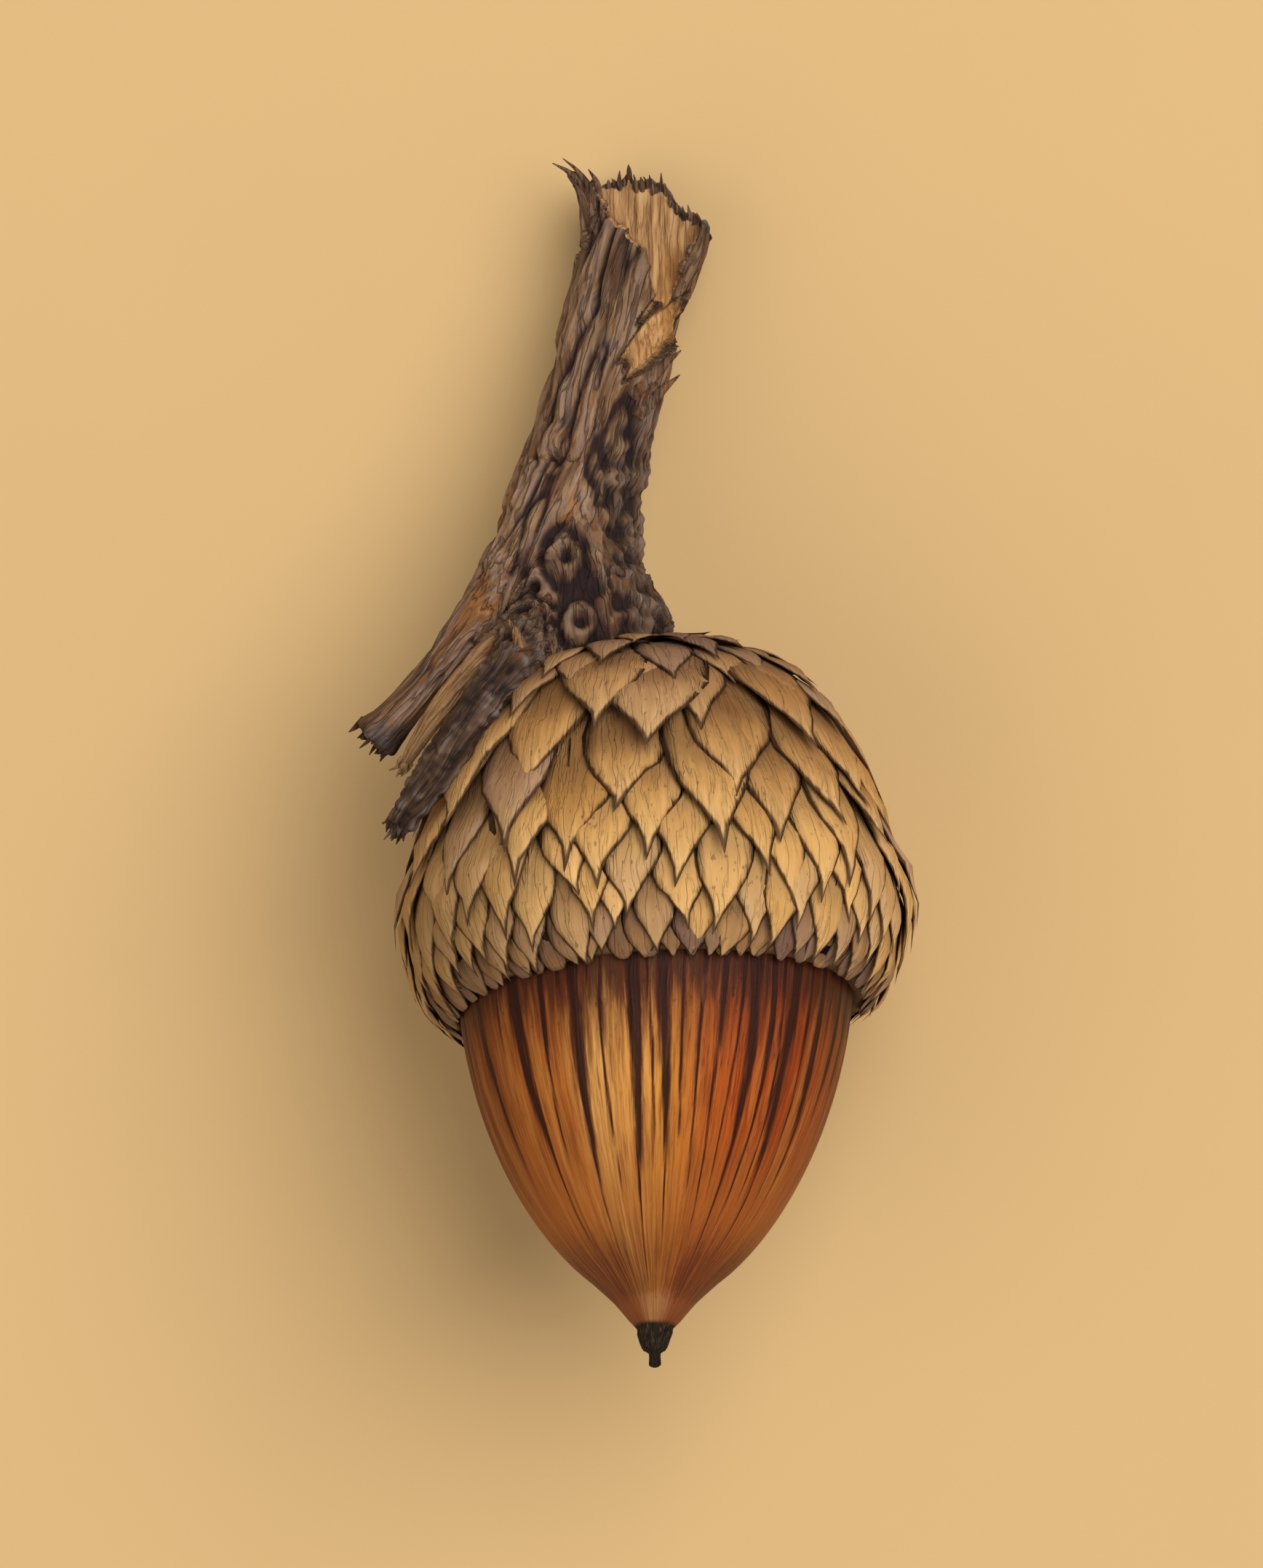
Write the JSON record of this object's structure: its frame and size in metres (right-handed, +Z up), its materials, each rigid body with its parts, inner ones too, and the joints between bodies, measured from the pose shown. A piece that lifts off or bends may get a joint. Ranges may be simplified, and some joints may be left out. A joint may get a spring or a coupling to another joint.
{
  "type": "acorn",
  "caption": "Oak acorn lying on its side, pointed striped nut seated in a deep scaly cup, with a torn piece of twig and broken spurs.",
  "frame": {"origin": "on the small flat on the cup's belly, where the belly reached lowest before it was worn flat", "axes": "+Z up from that surface, +Y from the nut's point towards the twig, seen from above, +X to the right"},
  "size_m": [0.0237, 0.0517, 0.021],
  "materials": {
    "nut_shell": "satin, thin hard shell with dark lengthwise stripes",
    "cup_scales": "matt, overlapping woody scales with pale tips",
    "twig_bark": "matt, ridged bark with bare torn wood at the end"
  },
  "bodies": {
    "root": {"nut": "nut_shell", "cup": "cup_scales", "twig": "twig_bark"}
  },
  "joints": []
}
